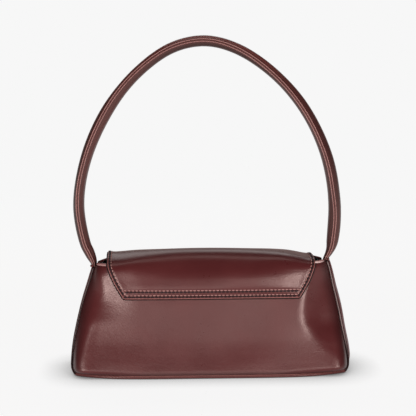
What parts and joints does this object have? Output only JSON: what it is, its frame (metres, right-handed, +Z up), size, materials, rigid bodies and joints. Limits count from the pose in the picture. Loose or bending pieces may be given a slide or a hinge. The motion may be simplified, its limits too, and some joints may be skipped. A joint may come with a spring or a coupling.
{
  "type": "flap shoulder bag",
  "caption": "Structured leather shoulder bag with a trapezoid body, a stitched fold-over flap with cut corners and a tall arched rolled handle.",
  "frame": {"origin": "on the floor under the middle of the base", "axes": "+Z up, +X along the bag's length, +Y from the rear panel, where the flap is sewn, to the front"},
  "size_m": [0.2796, 0.0884, 0.3352],
  "materials": {
    "smooth_leather": "smooth semi-gloss oxblood leather",
    "flap_backing": "thin matt oxblood leather",
    "lining_cloth": "black twill",
    "stiff_board": "grey stiffening board",
    "snap_steel": "satin plated steel",
    "magnet": "dark ferrite",
    "handle_cord": "cotton filler cord"
  },
  "bodies": {
    "bag": {"base_panel": "smooth_leather", "rear_panel": "smooth_leather", "front_panel": "smooth_leather", "left_gusset": "smooth_leather", "right_gusset": "smooth_leather", "base_welt": "smooth_leather", "rear_left_welt": "smooth_leather", "rear_right_welt": "smooth_leather", "front_left_welt": "smooth_leather", "front_right_welt": "smooth_leather", "rear_rim": "smooth_leather", "front_rim": "smooth_leather", "flap_rear": "smooth_leather", "left_handle_tab": "smooth_leather", "right_handle_tab": "smooth_leather", "flap_rear_lining": "flap_backing", "lining": "lining_cloth", "slip_pocket": "lining_cloth", "base_board": "stiff_board", "snap_socket": "snap_steel", "snap_back_plate": "snap_steel", "snap_magnet": "magnet"},
    "flap": {"flap_front": "smooth_leather", "flap_front_lining": "flap_backing", "flap_stiffener": "stiff_board", "snap_stud": "snap_steel"},
    "handle": {"handle_cover": "smooth_leather", "handle_core": "handle_cord"}
  },
  "joints": [
    {"name": "flap_hinge", "type": "hinge", "parent": "bag", "child": "flap", "pos_m": [0, -0.02607, 0.10415], "axis": [1, 0, 0], "range_deg": [0, 150]},
    {"name": "handle_swing", "type": "hinge", "parent": "bag", "child": "handle", "pos_m": [0, 0, 0.115], "axis": [1, 0, 0], "range_deg": [-110, 110]}
  ]
}
